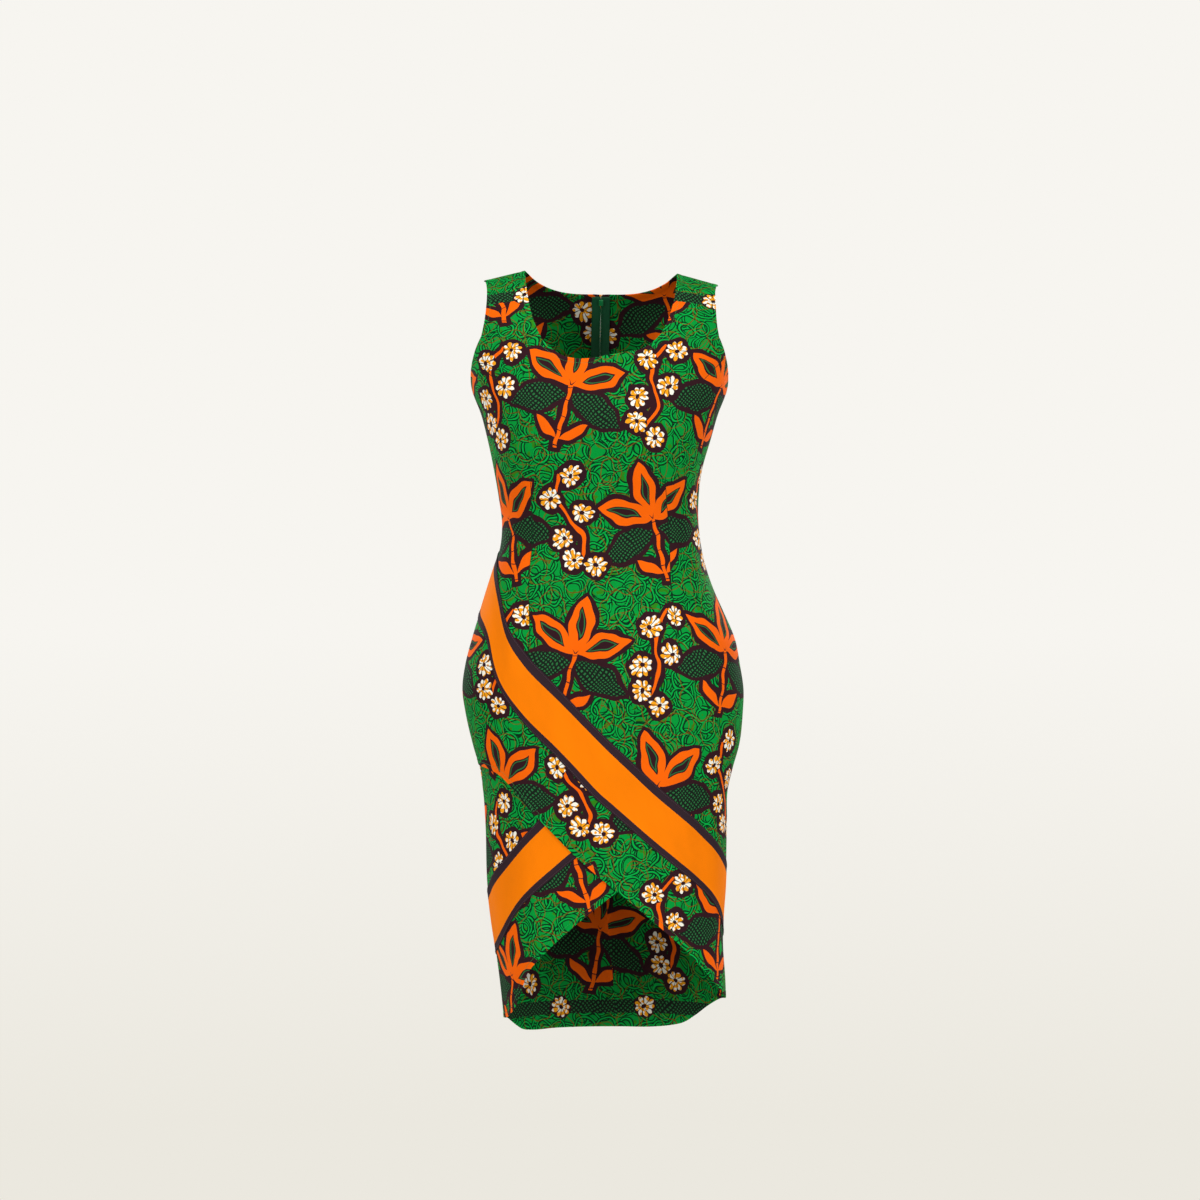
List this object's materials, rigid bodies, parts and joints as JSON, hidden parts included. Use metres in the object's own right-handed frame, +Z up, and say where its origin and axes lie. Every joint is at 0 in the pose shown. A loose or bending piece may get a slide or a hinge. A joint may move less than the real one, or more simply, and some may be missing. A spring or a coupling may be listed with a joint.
{
  "type": "sleeveless wax print sheath dress",
  "caption": "Sleeveless fitted knee-length sheath dress in printed cotton, with a scoop neck, a crossed tulip skirt front and diagonal bands, hollow as worn.",
  "frame": {"origin": "the middle of the shoulder line, where the wearer's shoulders hold the straps", "axes": "+Z up, the front faces -Y, +X to the right as seen from the front"},
  "size_m": [0.3659, 0.2463, 0.9988],
  "materials": {
    "wax_print": "crisp satin-matt printed cotton",
    "band_cloth": "plain matt cotton with dark edges",
    "zip_tape": "fine woven polyester tape",
    "zip_metal": "green enamel"
  },
  "bodies": {
    "dress": {"front": "wax_print", "front_underlap": "wax_print", "back_left": "wax_print", "back_right": "wax_print", "band_over": "band_cloth", "band_under": "band_cloth", "zip_tape_left": "zip_tape", "zip_tape_right": "zip_tape", "zip_coil": "zip_tape", "zip_slider": "zip_metal"},
    "pull": {"zip_pull": "zip_metal"}
  },
  "joints": [
    {"name": "zip_pull_lift", "type": "hinge", "parent": "dress", "child": "pull", "pos_m": [-0.00249, 0.07085, -0.01966], "axis": [1, 0, 0], "range_deg": [0, 160]}
  ]
}
